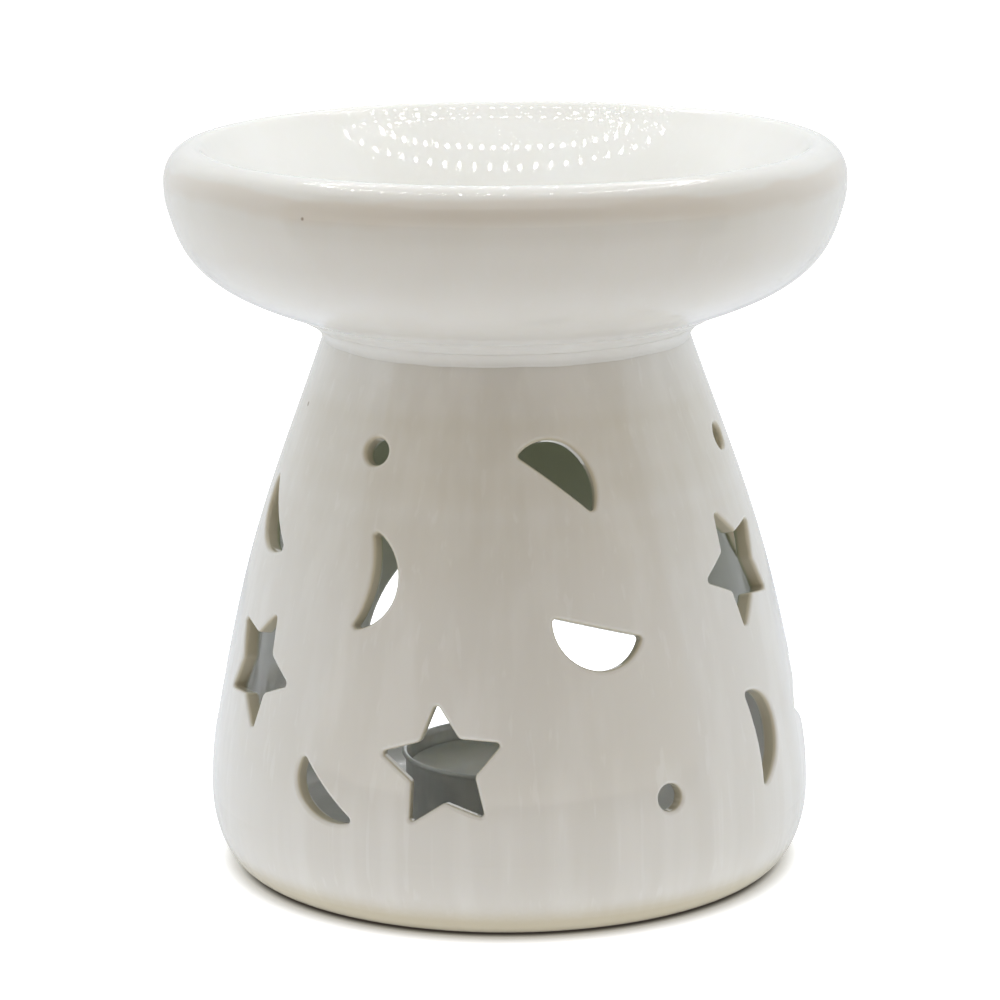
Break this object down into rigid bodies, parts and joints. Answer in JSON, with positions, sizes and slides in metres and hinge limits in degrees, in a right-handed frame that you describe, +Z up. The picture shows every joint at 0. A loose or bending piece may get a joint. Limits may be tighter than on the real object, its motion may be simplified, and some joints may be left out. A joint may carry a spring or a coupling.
{
  "type": "tealight holder",
  "caption": "Glazed ceramic tealight holder: bell-shaped body with star, moon and round cut-outs under a shallow oil dish, with a removable tealight inside.",
  "frame": {"origin": "on the vertical axis of the body, in the plane of the foot ring that stands on the table", "axes": "+Z up along the axis of body and dish, +Y towards the candle opening at the back, -Y towards the decorated front, +X to the right seen from the front"},
  "size_m": [0.12, 0.12, 0.13],
  "materials": {
    "white_glaze": "glossy warm white glaze over a slip-cast body",
    "dish_glaze": "glossy warm white glaze, slightly pooled in the bowl",
    "seam_glaze": "glossy glaze pooled over the luted joint",
    "cup_aluminium": "thin pressed foil, bright with fine drawing lines",
    "candle_wax": "paraffin wax, translucent and softly shiny",
    "wick_cotton": "braided cotton, waxed",
    "sustainer_tinplate": "thin stamped tinplate"
  },
  "bodies": {
    "holder": {"body_shell": "white_glaze", "neck_seam": "seam_glaze", "oil_dish": "dish_glaze"},
    "tealight_can": {"tealight_cup": "cup_aluminium"},
    "candle": {"tealight_wax": "candle_wax", "tealight_wick": "wick_cotton", "wick_sustainer": "sustainer_tinplate"}
  },
  "joints": [
    {"name": "tealight_draw", "type": "slide", "parent": "holder", "child": "tealight_can", "axis": [0, 0.9781, 0.2079], "range_m": [0, 0.105]},
    {"name": "wax_lift", "type": "slide", "parent": "tealight_can", "child": "candle", "axis": [0, 0, 1], "range_m": [0, 0.018]}
  ]
}
